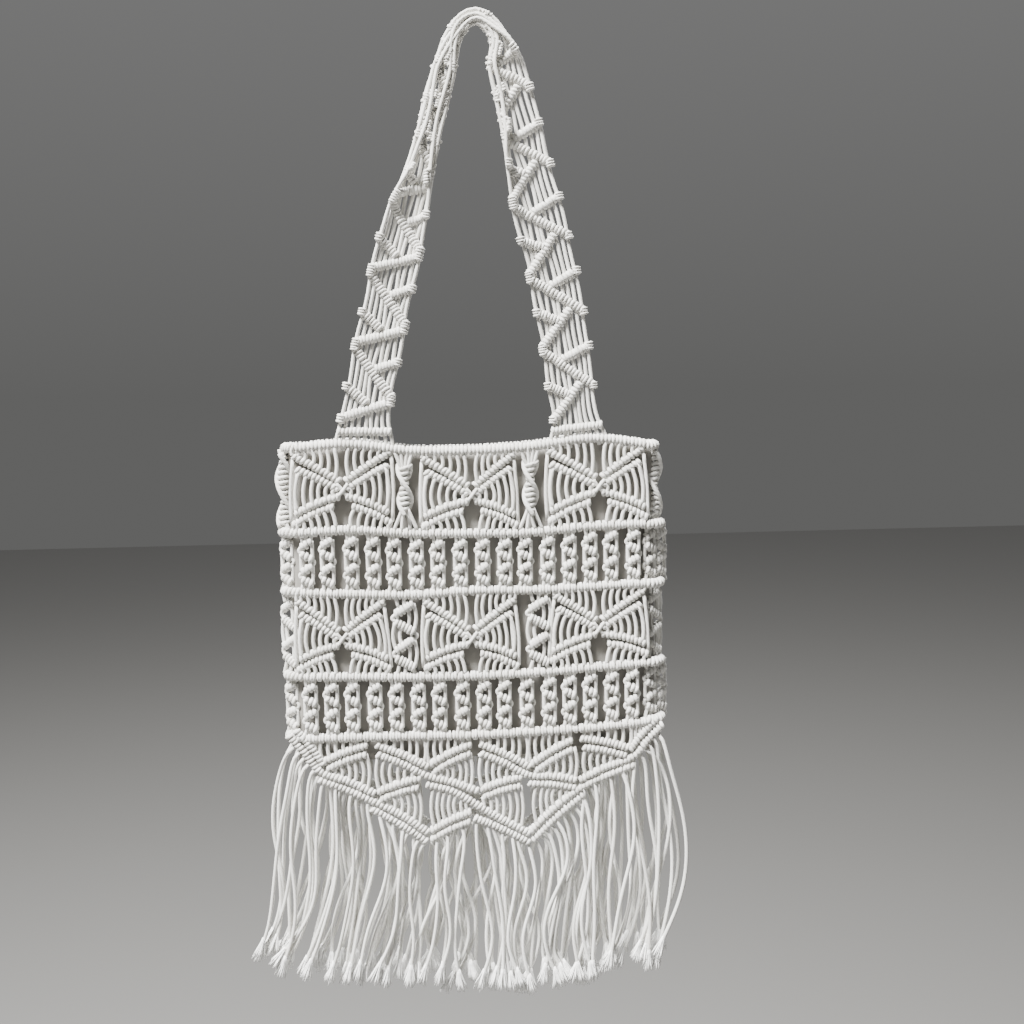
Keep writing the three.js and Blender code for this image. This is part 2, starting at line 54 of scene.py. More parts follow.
floor_ramp = floor_nodes.nodes.new("ShaderNodeValToRGB")
floor_ramp.color_ramp.elements[0].color = (0.27, 0.266, 0.258, 1)
floor_ramp.color_ramp.elements[1].color = (0.32, 0.315, 0.305, 1)
floor_nodes.links.new(floor_noise.outputs["Fac"], floor_ramp.inputs["Fac"])
floor_nodes.links.new(floor_ramp.outputs["Color"], floor_shader.inputs["Base Color"])
floor.data.materials.append(floor_paint)

sky = bpy.data.worlds.new("overcast")
bpy.context.scene.world = sky
sky.use_nodes = True
sky_nodes = sky.node_tree
background = sky_nodes.nodes["Background"]
background.inputs["Strength"].default_value = 0.25
sky_coords = sky_nodes.nodes.new("ShaderNodeTexCoord")
sky_split = sky_nodes.nodes.new("ShaderNodeSeparateXYZ")
sky_ramp = sky_nodes.nodes.new("ShaderNodeValToRGB")
sky_ramp.color_ramp.elements[0].color = (0.5, 0.5, 0.49, 1)
sky_ramp.color_ramp.elements[1].color = (1, 1, 1, 1)
sky_ramp.color_ramp.elements[1].position = 0.7
sky_nodes.links.new(sky_coords.outputs["Generated"], sky_split.inputs[0])
sky_nodes.links.new(sky_split.outputs["Z"], sky_ramp.inputs["Fac"])
sky_nodes.links.new(sky_ramp.outputs["Color"], background.inputs["Color"])


def soft_light(name, place, target, size, power, colour):
    bpy.ops.object.light_add(type="AREA", location=place)
    light = bpy.context.object
    light.name = name
    light.data.size = size
    light.data.energy = power
    light.data.color = colour
    way = Vector(target) - Vector(place)
    light.rotation_euler = way.to_track_quat("-Z", "Y").to_euler()


soft_light("high_soft_light", (-2.1, -1.7, 4.0), (0, 0, -0.45), 1.3, 2000, (1, 0.995, 0.98))
soft_light("back_soft_light", (0.5, 1.3, 1.2), (0, 0, -0.4), 1.0, 90, (0.98, 0.99, 1))

# The camera stands 0.91 m in front of the bag at the photograph's angle: a 40 mm lens that looks 6.1
# degrees down and 3.45 to the right, and is tipped so that the picture's right side rises.
camera = bpy.data.objects.new("camera", bpy.data.cameras.new("camera"))
bpy.context.collection.objects.link(camera)
camera.data.lens = 40
camera.data.sensor_width = 36
pitch, yaw, roll = (math.radians(a) for a in (6.1, 3.45, 0.95))
aim = (
    Matrix.Rotation(-yaw, 4, "Z")
    @ Matrix.Rotation(math.pi / 2 - pitch, 4, "X")
    @ Matrix.Rotation(-roll, 4, "Z")
)
camera.matrix_world = Matrix.Translation((-0.0335, -0.9144, -0.2798)) @ aim
bpy.context.scene.camera = camera

# The top edge. A cord of undyed cotton lies along the mouth, front and back, and the cords that hang
# down each face are tied to it with clove hitches, side by side, which hide it. Sizes are in mm, x from
# the body's middle, which hangs a little to the left of the hanging point.
body_centre_x = -10
face_y = 11
face_end_x = 139
cord_radius = 1.6
bar_height = 8.4
bar_wraps = 108
top_edge_wraps = 90
rng = np.random.default_rng(11)


def unit(vectors):
    """The vectors at length 1."""
    return vectors / np.linalg.norm(vectors, axis=-1, keepdims=True)


def smooth_path(points, count):
    """A smooth line through a few points, in all their columns."""
    p = np.asarray(points, float)
    steps = np.linalg.norm(np.diff(p[:, :3], axis=0), axis=1) ** 0.5
    t = np.concatenate([[0], np.cumsum(steps)])
    slope = np.gradient(p, t, axis=0)
    at = np.linspace(0, t[-1], count)
    i = np.clip(np.searchsorted(t, at, "right") - 1, 0, len(t) - 2)
    h = (t[i + 1] - t[i])[:, None]
    s = (at - t[i])[:, None] / h
    start = (2 * s**3 - 3 * s**2 + 1) * p[i] + (s**3 - 2 * s**2 + s) * h * slope[i]
    return start + (3 * s**2 - 2 * s**3) * p[i + 1] + (s**3 - s**2) * h * slope[i + 1]


def evenly(path, count):
    """The same line with its points spaced evenly."""
    steps = np.linalg.norm(np.diff(path[:, :3], axis=0), axis=1)
    t = np.concatenate([[0], np.cumsum(steps)])
    at = np.linspace(0, t[-1], count)
    return np.stack([np.interp(at, t, column) for column in path.T], axis=1)


def hitch_row(route, wraps, height, facing=(0, 1, 0), slant=0.3, paired=0.0):
    """Wraps side by side round a carrying cord that follows route. A row is height across, and its
    wraps show on the side that faces out. Slant is a wrap's lean along the row, and paired draws the
    two wraps of each hitch together. Returns groups of cords for cord_mesh."""
    route = np.asarray(route, float)
    facing = np.broadcast_to(np.asarray(facing, float), route.shape)
    dense = evenly(np.hstack([route, facing]), 2 * wraps + 1)
    line, out = dense[:, :3], dense[:, 3:]
    along = unit(np.gradient(line, axis=0))
    out = unit(out - along * (along * out).sum(-1, keepdims=True))
    across = np.cross(out, along)
    pitch = np.linalg.norm(np.diff(line, axis=0), axis=1).sum() / wraps
    deep = min(cord_radius, 0.25 * height)
    reach = height / 2 - deep
    turn = np.radians(np.linspace(-125, 125, 7))[None, :, None]
    # No two wraps are quite alike in how far they stand out, how they slant and where they lie.
    own = {key: rng.normal(0, 1, (wraps, 1, 1)) for key in ("reach", "slant", "place")}
    middle = slice(1, None, 2)
    draw = paired * (0.5 - np.arange(wraps) % 2)[:, None, None]
    wrap = line[middle][:, None] + along[middle][:, None] * pitch * (
        draw + 0.05 * own["place"] + (slant + 0.12 * own["slant"]) * turn / math.pi
    )
    ring = np.cos(turn) * out[middle][:, None] + np.sin(turn) * across[middle][:, None]
    wrap = wrap + reach * (1 + 0.07 * own["reach"]) * ring
    core = (line[None], out[None], 0.7 * reach, 0.7 * reach)
    return [core, (wrap, along[middle][:, None], 0.51 * pitch, deep)]


def cord_mesh(name, groups, sides=6):
    """One mesh of cords, sizes in mm. A group is (points, flat direction, half width, half depth) for
    cords with equally many points. The UV map runs once round a cord and along it in cord widths."""
    places, faces, maps, tones, first = [], [], [], [], 0
    angle = (np.arange(sides) / sides * 2 * math.pi)[:, None]
    for points, flat, wide, deep in groups:
        cords, count = points.shape[:2]
        along = unit(np.gradient(points, axis=1))
        flat = unit(flat - along * (flat * along).sum(-1, keepdims=True))
        other = np.cross(along, flat)
        ring = np.cos(angle) * (flat * wide)[:, :, None] + np.sin(angle) * (other * deep)[:, :, None]
        places.append((points[:, :, None] + ring).reshape(-1, 3))
        number = first + np.arange(cords * count * sides).reshape(cords, count, sides)
        first += number.size
        a, b = number[:, :-1], number[:, 1:]
        quads = np.stack([a, np.roll(a, -1, 2), np.roll(b, -1, 2), b], axis=-1)
        steps = np.linalg.norm(np.diff(points, axis=1), axis=-1) / (2 * cord_radius)
        v = np.concatenate([np.zeros((cords, 1)), np.cumsum(steps, axis=1)], axis=1)
        u = np.arange(sides) / sides
        us = np.stack([u, u + 1 / sides, u + 1 / sides, u], axis=-1)
        us = np.broadcast_to(us, quads.shape)
        vs = np.stack([v[:, :-1], v[:, :-1], v[:, 1:], v[:, 1:]], axis=-1)
        vs = np.broadcast_to(vs[:, :, None], quads.shape)
        faces += quads.reshape(-1, 4).tolist()
        maps.append(np.stack([us, vs], axis=-1).reshape(-1, 2))
        faces += number[:, 0, ::-1].tolist() + number[:, -1].tolist()
        maps.append(np.zeros((2 * cords * sides, 2)))
        tones.append(np.repeat(rng.random(cords), count * sides))
    mesh = bpy.data.meshes.new(name)
    mesh.from_pydata((np.concatenate(places) * 0.001).tolist(), [], faces)
    mesh.uv_layers.new(name="cord").data.foreach_set("uv", np.concatenate(maps).ravel())
    mesh.attributes.new("tone", "FLOAT", "POINT").data.foreach_set("value", np.concatenate(tones))
    mesh.polygons.foreach_set("use_smooth", np.ones(len(faces), bool))
    mesh.update()
    piece = bpy.data.objects.new(name, mesh)
    bpy.context.collection.objects.link(piece)
    return piece


def on_face(groups, face):
    """Groups drawn as x from the body's middle, out from the face and z, stood on a face: -1 is the
    front and 1 the back."""
    stood = []
    for points, flat, wide, deep in groups:
        place = points * (1, face, 1) + (body_centre_x, face * face_y, 0)
        stood.append((place, np.asarray(flat) * (1, face, 1), wide, deep))
    return stood


def cotton(name, light, dark, ply_depth):
    """Undyed cotton cord: fuzzy plies laid in a slow twist, paler and greyer cords and places, and painted
    shade in the grooves between the plies."""
    material = bpy.data.materials.new(name)
    material.use_nodes = True
    tree = material.node_tree
    new, link = tree.nodes.new, tree.links.new
    shader = tree.nodes["Principled BSDF"]
    shader.inputs["Roughness"].default_value = 0.92
    shader.inputs["Specular IOR Level"].default_value = 0.25
    shader.inputs["Sheen Weight"].default_value = 0.18
    shader.inputs["Sheen Roughness"].default_value = 0.6

    def maths(operation, a, b=0.0, c=0.0):
        node = new("ShaderNodeMath")
        node.operation = operation
        for socket, value in zip(node.inputs, (a, b, c)):
            if isinstance(value, (int, float)):
                socket.default_value = value
            else:
                link(value, socket)
        return node.outputs[0]

    coords = new("ShaderNodeTexCoord")
    split = new("ShaderNodeSeparateXYZ")
    uv = new("ShaderNodeUVMap")
    uv.uv_map = "cord"
    link(uv.outputs["UV"], split.inputs[0])
    turns = maths("MULTIPLY_ADD", split.outputs["X"], 3, maths("MULTIPLY", split.outputs["Y"], 0.75))
    ply = maths("ABSOLUTE", maths("SINE", maths("MULTIPLY", turns, math.pi)))
    fuzz = new("ShaderNodeTexNoise")
    fuzz.inputs["Scale"].default_value = 1100
    fuzz.inputs["Detail"].default_value = 3
    link(coords.outputs["Object"], fuzz.inputs["Vector"])
    cloud = new("ShaderNodeTexNoise")
    cloud.inputs["Scale"].default_value = 16
    cloud.inputs["Detail"].default_value = 2
    link(coords.outputs["Object"], cloud.inputs["Vector"])
    tone = new("ShaderNodeAttribute")
    tone.attribute_name = "tone"
    greyer = maths("MULTIPLY", cloud.outputs["Fac"], 0.35)
    greyer = maths("MULTIPLY_ADD", tone.outputs["Fac"], 0.35, greyer)
    # Painted shade: the grooves between the plies are greyed for the shade that falls in them, not for any
    # grey in the cotton.
    greyer = maths("MULTIPLY_ADD", maths("SUBTRACT", 1, ply), 0.22, greyer)
    greyer = maths("MULTIPLY_ADD", fuzz.outputs["Fac"], 0.2, greyer)
    ramp = new("ShaderNodeValToRGB")
    ramp.color_ramp.elements[0].position = 0.2
    ramp.color_ramp.elements[0].color = (*light, 1)
    ramp.color_ramp.elements[1].position = 0.95
    ramp.color_ramp.elements[1].color = (*dark, 1)
    link(greyer, ramp.inputs["Fac"])
    link(ramp.outputs["Color"], shader.inputs["Base Color"])
    bump = new("ShaderNodeBump")
    bump.inputs["Strength"].default_value = 0.7
    bump.inputs["Distance"].default_value = 0.0004
    relief = maths("MULTIPLY_ADD", fuzz.outputs["Fac"], 0.5, maths("MULTIPLY", ply, ply_depth))
    link(relief, bump.inputs["Height"])
    link(bump.outputs["Normal"], shader.inputs["Normal"])
    return material


def finish_cords(piece, material, slot, *nodes):
    """Gives a piece of cords its cotton and puts it in place of the solids of these nodes."""
    piece.data.materials.append(material)
    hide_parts(*nodes)
    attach(piece, "root")


knotted_cotton = cotton("knotted_cotton", (0.8, 0.79, 0.76), (0.54, 0.525, 0.485), 0.4)

# The five bars across a face wave a little, as the knots pull them. A row has a bar's heights at these
# shares of the half width, from its left end to its right end.
bar_half_width = 151.5
bar_shares = (-1, -0.95, -0.64, -0.33, -0.01, 0.31, 0.63, 0.95, 1)
bar_heights = {
    "top": (-321.5, -322.4, -319.7, -325.7, -326.6, -324.4, -318.6, -325.1, -325.5),
    "upper": (-389, -389.5, -387.8, -391.6, -392.8, -393, -389.2, -388.5, -389.5),
    "upper_middle": (-436.5, -437.2, -439.6, -441.2, -439.2, -440, -438.4, -437, -438),
    "lower_middle": (-505.5, -505.8, -506.9, -508.7, -509, -508, -505.2, -502.4, -502.2),
    "lowest": (-555, -556.5, -556.8, -557.5, -558.3, -557.2, -555.4, -551.2, -550),
}


def bar_z(bar, x):
    """Height of a bar at x."""
    xs = np.array(bar_shares) * bar_half_width
    table = np.stack([xs, 0 * xs, bar_heights[bar]], axis=1)
    line = smooth_path(table, 120)
    return np.interp(x, line[:, 0], line[:, 2])


def bar_row(bar, wraps=bar_wraps, paired=0.22):
    """The hitches of a bar, across one face."""
    x = np.linspace(-face_end_x, face_end_x, 60)
    route = np.stack([x, np.zeros(60), bar_z(bar, x)], axis=1)
    return hitch_row(route, wraps, bar_height, slant=0.2, paired=paired)


for label, face in (("front", -1), ("back", 1)):
    edge = cord_mesh(label + "_top_edge_hitches", on_face(bar_row("top", top_edge_wraps, 0), face))
    finish_cords(edge, knotted_cotton, "knotted_cord", label + "_top_edge")

# The two rows of butterflies. Twelve cords of a butterfly hang from the bar above, are hitched over
# two slanting rows on each side, cross in the middle and are hitched again on the way out. Spirals of
# half knots stand between the butterflies of the upper row, and zigzag sinnets in the lower row.
# Rows: the butterflies from left to right. Columns: the middle, then the upper left, upper right, lower
# left and lower right corner, each x and z.
butterflies = {
    "upper": (
        ((-103, -354), (-141, -330), (-64, -328), (-143, -384), (-65, -384)),
        ((-1, -360), (-40, -334), (33, -332), (-41, -388), (35, -388)),
        ((101, -355), (60, -330), (137, -329), (60, -386), (140, -384)),
    ),
    "lower": (
        ((-107, -474), (-142, -446), (-73, -448), (-143, -501), (-69, -502)),
        ((-3, -476), (-41, -449), (32, -449), (-42, -503), (34, -503)),
        ((100, -471), (64, -447), (137, -445), (60, -500), (140, -496)),
    ),
}
# The four slanting rows of a butterfly's side. Columns: whether it starts at the upper corner, its
# place from that corner, sideways to the middle and up, its place from the middle, and its wraps.
wing_rows = {
    "outer_upper": (True, (0, 2), (2, 4.9), 12),
    "inner_upper": (True, (2.2, -8.7), (2.6, -1.6), 11),
    "inner_lower": (False, (1.6, 9.4), (1.9, -6.6), 11),
    "outer_lower": (False, (-0.4, 0.4), (6.8, -14.6), 10),
}
wing_row_height = 7.2
wing_cords = 6


def hanging(starts, ends, bulge, outs=(1.2, 1.2)):
    """Cords from each start to each end, x and z, that bow sideways by bulge."""
    starts, ends = np.asarray(starts, float), np.asarray(ends, float)
    t = np.linspace(0, 1, 8)[None, :, None]
    flat_line = starts[:, None] * (1 - t) + ends[:, None] * t
    bow = (np.broadcast_to(bulge, len(starts)) + rng.normal(0, 0.35, len(starts)))[:, None]
    x = flat_line[..., 0] + bow * np.sin(math.pi * t[..., 0])
    out = outs[0] * (1 - t[..., 0]) + outs[1] * t[..., 0] + 0 * x
    points = np.stack([x, out, flat_line[..., 1]], axis=-1)
    return (points, np.array([0, 1, 0.0]), cord_radius, cord_radius)


def between(a, b, shares):
    """Points at these shares of the way from a to b."""
    shares = np.asarray(shares, float)[:, None]
    return np.asarray(a, float) * (1 - shares) + np.asarray(b, float) * shares


def butterfly(places, above, below):
    """A butterfly at these places, between the bar above and the bar below."""
    middle, *corners = places
    groups = []
    shares = (np.arange(wing_cords) + 0.45) / wing_cords
    for side in (-1, 1):
        upper = corners[0 if side < 0 else 1]
        lower = corners[2 if side < 0 else 3]
        ends = {}
        for row, (from_upper, from_corner, from_middle, wraps) in wing_rows.items():
            corner = upper if from_upper else lower
            outer = (corner[0] - side * from_corner[0], corner[1] + from_corner[1])
            inner = (middle[0] + side * from_middle[0], middle[1] + from_middle[1])
            ends[row] = (outer, inner)
            bow = 0.6 if from_upper else 1.6
            centre = ((outer[0] + inner[0]) / 2, (outer[1] + inner[1]) / 2 + bow)
            route = smooth_path([(x, 0, z) for x, z in (outer, centre, inner)], 20)
            groups += hitch_row(route, wraps, wing_row_height, slant=0.35 * side)
        # Cords come down from the bar to the outermost row, and go on across the wing, where they bow
        # outwards, the more so near its edge.
        tops = between(*ends["outer_upper"], shares)
        bar_x = between((upper[0], 0), (middle[0] + side * 2.5, 0), shares)[:, 0]
        starts = np.stack([bar_x, bar_z(above, bar_x) - 2], axis=1)
        groups.append(hanging(starts, tops, -side * 1.6))
        starts = between(*ends["inner_upper"], shares)
        finishes = between(*ends["inner_lower"], shares)
        groups.append(hanging(starts, finishes, side * (2.9 - 1.6 * shares)))
        # Two cords more close the wing at its edge.
        edge_starts = [(upper[0], upper[1] - 1), (upper[0] - side * 3.6, upper[1] - 9)]
        edge_ends = [(lower[0] + side * 0.6, lower[1] + 2), (lower[0] - side * 3, lower[1] + 9)]
        groups.append(hanging(edge_starts, edge_ends, side * 1.2, (0.2, 0.2)))
        # The cords leave the last row for the bar below.
        starts = between(*ends["outer_lower"], shares)
        bar_x = between((lower[0], 0), (middle[0] + side * 2.6, 0), shares)[:, 0]
        finishes = np.stack([bar_x, bar_z(below, bar_x) + 2], axis=1)
        groups.append(hanging(starts, finishes, -side * 0.8))
        # The first row's carrying cord comes from the bar, and in the middle it crosses the other side's.
        corner_x = np.array([upper[0]])
        start = np.stack([corner_x, bar_z(above, corner_x)], axis=1)
        groups.append(hanging(start, [ends["outer_upper"][0]], 0))
        start = [(middle[0] + side * 4.5, middle[1] + 3.2)]
        end = [(middle[0] - side * 3.4, middle[1] - 6.6)]
        groups.append(hanging(start, end, 0, (2.2, 2.4 + side * 0.9)))
    return groups


def level_cords(x_top, z_top, x_low, z_low, outs=(1.2, 1.2)):
    """Hanging cords that all start at one height and all end at one."""
    starts = np.stack([x_top, np.full(len(x_top), z_top)], axis=1)
    ends = np.stack([x_low, np.full(len(x_low), z_low)], axis=1)
    return hanging(starts, ends, 0, outs)


def spiral(x, top, bottom, half_turn=25.0, facing=0.0, legs=(10, 13), leg_reach=9.5, wide=5.2):
    """Half knots tied one way, so that the sinnet turns round its two core cords. Legs are the lengths
    of bare cord above and below it, and leg_reach how far they splay."""
    knot_spacing = 4.0
    deep = 2.2
    rise = 0.9
    edge_radius = 1.75
    first = top - legs[0]
    last = bottom + legs[1]
    heights = np.arange(first, last, -knot_spacing)
    angle = facing - math.pi * (first - heights) / half_turn
    t = np.linspace(0, 2 * math.pi, 13)[None, :]
    along, across = wide * np.cos(t), deep * np.sin(t)
    cos, sin = np.cos(angle)[:, None], np.sin(angle)[:, None]
    loop_x = x + cos * along - sin * across
    loop_out = sin * along + cos * across
    loop_z = heights[:, None] + rise * np.sin(2 * t) + 0 * loop_x
    loops = (np.stack([loop_x, loop_out, loop_z], axis=-1), np.array([0, 0, 1.0]), 1.7, 1.5)
    # The knots' turned edges read as two thick cords that wind round the sinnet.
    down = np.linspace(first + 3, last - 3, 26)
    turn = facing - math.pi * (first - down) / half_turn
    winding = [(x + s * wide * np.cos(turn), s * wide * np.sin(turn), down) for s in (-1, 1)]
    edges = (np.array(winding).transpose(0, 2, 1), np.array([0, 0.3, 1.0]), edge_radius, edge_radius)
    spread = leg_reach * np.array([-1, -0.32, 0.37, 0.95])
    upper_legs = level_cords(x + 0.75 * spread, top + 3, x + 0.22 * spread, first - 2)
    lower_legs = level_cords(x + 0.22 * spread, last + 2, x + spread, bottom - 2)
    return [loops, edges, upper_legs, lower_legs]


def zigzag(x, top, bottom, half_width, wraps, row_height, rows=4, steep=0.55, float_bulge=-0.05):
    """Clove hitches in short slanting rows that turn back and forth down the sinnet. Steep is a row's
    slope, and float_bulge how far the cord beside it stands out, as a share of the half width."""
    groups = []
    pitch = (top - bottom) / rows
    slope = half_width * steep
    way = 1
    arcs = []
    for row in range(rows):
        z = top - pitch * (row + 0.5)
        start, end = (x + way * half_width, 0, z + slope), (x - way * half_width, 0, z - slope)
        groups += hitch_row([start, end], wraps, row_height, slant=-0.35 * way)
        if row + 1 < rows:
            # A cord loops from this row's end to the next row, another hangs past at its start, and in
            # a wide sinnet one more hangs between them.
            next_z = z - pitch + slope
            reach = end[0] - way * half_width * 0.3
            arcs.append([end, (reach, -0.4, (end[2] + next_z) / 2), (end[0], 0, next_z)])
            bulge = start[0] + way * half_width * float_bulge
            low_z = z - pitch - slope * 0.8
            arcs.append([start, (bulge, -0.3, z - pitch * 0.5), (start[0], 0, low_z)])
            if wraps > 3:
                inner_x = x + way * half_width * 0.4
                bowed = (inner_x + way, -0.5, z - pitch / 2)
                arcs.append([(inner_x, 0, z), bowed, (inner_x, 0, z - pitch)])
        way = -way
    arcs = np.stack([smooth_path(a, 8) for a in arcs])
    groups.append((arcs, np.array([0, 1, 0.0]), cord_radius, cord_radius))
    # Three cords enter it from the bar above and leave it for the bar below.
    spread = half_width * np.array([-0.9, 0, 0.9])
    first, last = top - pitch * 0.35, bottom + pitch * 0.4
    groups.append(level_cords(x + spread, top + 4, x + 0.7 * spread, first, (0.5, 0)))
    groups.append(level_cords(x + 0.75 * spread, last, x + 1.25 * spread, bottom - 4, (0, 0.5)))
    return groups


butterfly_bars = {"upper": ("top", "upper"), "lower": ("upper_middle", "lower_middle")}
sinnet_x = {"upper": (-54, 46), "lower": (-57, 51.5)}
clear_of_bar = bar_height / 2


def butterfly_row(row):
    """The butterflies and sinnets of one row of a face, with the bar under them."""
    above, below = butterfly_bars[row]
    groups = bar_row(below)
    for places in butterflies[row]:
        groups += butterfly(places, above, below)
    for x in sinnet_x[row]:
        top = bar_z(above, x) - clear_of_bar
        bottom = bar_z(below, x) + clear_of_bar
        if row == "upper":
            groups += spiral(x, top, bottom)
        else:
            groups += zigzag(x, top, bottom, 7.6, 6, 8.2, steep=0.62, float_bulge=0.25)
    return groups


for label, face in (("front", -1), ("back", 1)):
    for row in ("upper", "lower"):
        piece = cord_mesh(f"{label}_{row}_butterflies", on_face(butterfly_row(row), face))
        finish_cords(piece, knotted_cotton, "knotted_cord", f"{label}_{row}_butterfly_row")

# The two rows of zigzag chains, sixteen on a face. Each is three cords hitched back and forth in four
# short slanting rows, and all are tied onto the bar below. They aren't quite evenly spaced.
chain_bars = {"upper": ("upper", "upper_middle"), "lower": ("lower_middle", "lowest")}
chains_per_face = 16
chain_spacing = 17.5
chain_middle_x = {"upper": -2.5, "lower": -3.5}
chain_half_width = 4.5


def chain_row(row):
    """The chains of one row of a face, with the bar under them."""
    above, below = chain_bars[row]
    groups = bar_row(below)
    for i in range(chains_per_face):
        x = chain_middle_x[row] + (i - (chains_per_face - 1) / 2) * chain_spacing
        x += rng.normal(0, 0.5)
        top = bar_z(above, x) - clear_of_bar
        bottom = bar_z(below, x) + clear_of_bar
        groups += zigzag(x, top, bottom, chain_half_width, 3, 7.7, steep=0.6, float_bulge=0)
    return groups


for label, face in (("front", -1), ("back", 1)):
    for row in ("upper", "lower"):
        piece = cord_mesh(f"{label}_{row}_chains", on_face(chain_row(row), face))
        finish_cords(piece, knotted_cotton, "knotted_cord", f"{label}_{row}_chain_row")

# The hem net. Below the last bar the cords are hitched over double slanting rows that cross in three
# lines of V shapes, so that the body ends in two points. A row lists the points of its V shapes from
# left to right, x and z.
hem_upper_row = [
    (-150, -551), (-128, -581), (-86, -566), (-42, -587), (-2, -568),
    (41, -590), (81, -567), (127, -578), (150, -552),
]
hem_middle_row = [
    (-128, -588), (-86, -608), (-42, -595), (-2, -609), (41, -597), (84, -603), (127, -585),
]
hem_lower_row = [
    (-86, -614), (-43, -643), (-3, -625), (41, -647), (84, -609),
]
hem_row_height = 7.2
hem_row_gap = 6.9
hem_wrap_width = 3.3
hem_row_sag = 1.2
# The lines that the double rows follow from side to side. Columns: the segments, each a row above and
# the place along it where the segment starts and ends; then how far the upper and the lower row of
# hitches keep from the line's first point, and from its last.
hem_lines = (
    (((hem_upper_row, 0, 1), (hem_middle_row, 0, 1), (hem_lower_row, 0, 1)), (0, 0), (1, -2)),
    (((hem_upper_row, 2, 3), (hem_middle_row, 2, 3), (hem_lower_row, 2, 3)), (2, 6), (1, -2)),
    (((hem_upper_row, 4, 5), (hem_middle_row, 4, 5)), (2, 6), (4, 4)),
    (((hem_upper_row, 6, 7),), (2, 6), (4, 4)),
    (((hem_upper_row, 8, 7), (hem_middle_row, 6, 5), (hem_lower_row, 4, 3)), (0, 0), (4, 0)),
    (((hem_upper_row, 6, 5),), (2, 6), (4.5, 4.5)),
    (((hem_middle_row, 4, 3),), (4, 8), (4.5, 4.5)),
    (((hem_lower_row, 2, 1),), (2, 6), (4.5, 1)),
    (((hem_upper_row, 4, 3),), (2, 6), (4.5, 4.5)),
    (((hem_middle_row, 2, 1),), (4, 8), (4.5, 4.5)),
    (((hem_upper_row, 2, 1),), (2, 6), (4.5, 4.5)),
)


def hem_line(segments, from_start, from_end):
    """The rows of hitches of one line: a segment's lower row runs on as the next segment's upper row."""
    upper_runs, lower_runs = [], []
    for number, (row, first, last) in enumerate(segments):
        a, b = np.array(row[first], float), np.array(row[last], float)
        way = unit(b - a)
        lift = np.array([-way[1], way[0]]) * np.sign(way[0]) * hem_row_gap / 2
        runs = ((upper_runs, lift, 0), (lower_runs, -lift, 1))
        for run, offset, which in runs:
            start = a + way * (from_start[which] if number == 0 else 0)
            end = b - way * (from_end[which] if number == len(segments) - 1 else 0)
            sagged = (start + end) / 2 + unit(lift) * hem_row_sag
            run.append([start + offset, sagged + offset, end + offset])
    # Where two segments meet, the lower run of the first goes on into the upper run of the next.
    strands = [upper_runs[0]]
    for lower, upper in zip(lower_runs, upper_runs[1:]):
        strands.append(lower[:2] + [(lower[2] + upper[0]) / 2] + upper[1:])
    strands.append(lower_runs[-1])
    groups = []
    for strand in strands:
        route = smooth_path([(x, 0, z) for x, z in strand], 40)
        wraps = round(np.linalg.norm(np.diff(route, axis=0), axis=1).sum() / hem_wrap_width)
        groups += hitch_row(route, wraps, hem_row_height, slant=-0.35)
    return groups


def row_z(row, x):
    """Height of a row of points at x."""
    xs, zs = np.array(row).T
    return np.interp(x, xs, zs)


def hem_net():
    """The slanting rows of one face and the cords between them."""
    groups = []
    for segments, from_start, from_end in hem_lines:
        groups += hem_line(segments, from_start, from_end)
    # The cords that show between the rows. Columns: the row above, the row below, whether they leave a
    # hole at its peaks or at its valleys, the shares of the way there of the first and last cord, and
    # how far they bow towards it, as a share of their length.
    bar = [(x, float(bar_z("lowest", x)) + 4) for x in np.linspace(-150, 150, 40)]
    fields = (
        (bar, hem_upper_row, "peaks", 0.06, 0.9, -0.1),
        (hem_upper_row, hem_middle_row, "valleys", 0.13, 0.88, 0.12),
        (hem_middle_row, hem_lower_row, "valleys", 0.13, 0.84, 0.12),
    )
    for upper, lower, hole, nearest, furthest, bow in fields:
        for start, end in zip(lower, lower[1:]):
            low, high = (start, end) if start[1] <= end[1] else (end, start)
            far, close = (low, high) if hole == "peaks" else (high, low)
            x = far[0] + (close[0] - far[0]) * np.linspace(nearest, furthest, 7)
            tops = np.stack([x, row_z(upper, x) - 3], axis=1)
            ends = np.stack([x, row_z(lower, x) + 3], axis=1)
            bulge = bow * np.sign(close[0] - far[0]) * np.clip(tops[:, 1] - ends[:, 1], 0, 22)
            groups.append(hanging(tops, ends, bulge, (0.3, 0.3)))
    return groups


for label, face in (("front", -1), ("back", 1)):
    piece = cord_mesh(label + "_hem_rows", on_face(hem_net(), face))
    finish_cords(piece, knotted_cotton, "knotted_cord", label + "_hem_net")

# The fringe. Every cord of the body, and the ends of the hem rows' carrying cords, hang on below the
# hem, loose and waving, and each is combed out at its end into a soft white tuft. Columns: share of the
# half width where a cord starts, and x and z of its end.
fringe_guides = np.array([
    (-1.0, -172, -735),
    (-0.93, -184, -732),
    (-0.85, -160, -742),
    (-0.72, -134, -750),
    (-0.55, -104, -754),
    (-0.38, -76, -757),
    (-0.2, -40, -758),
    (0, 2, -768),
    (0.2, 32, -768),
    (0.38, 58, -766),
    (0.55, 84, -763),
    (0.72, 108, -754),
    (0.86, 126, -748),
    (0.95, 150, -748),
    (1.0, 146, -742),
])
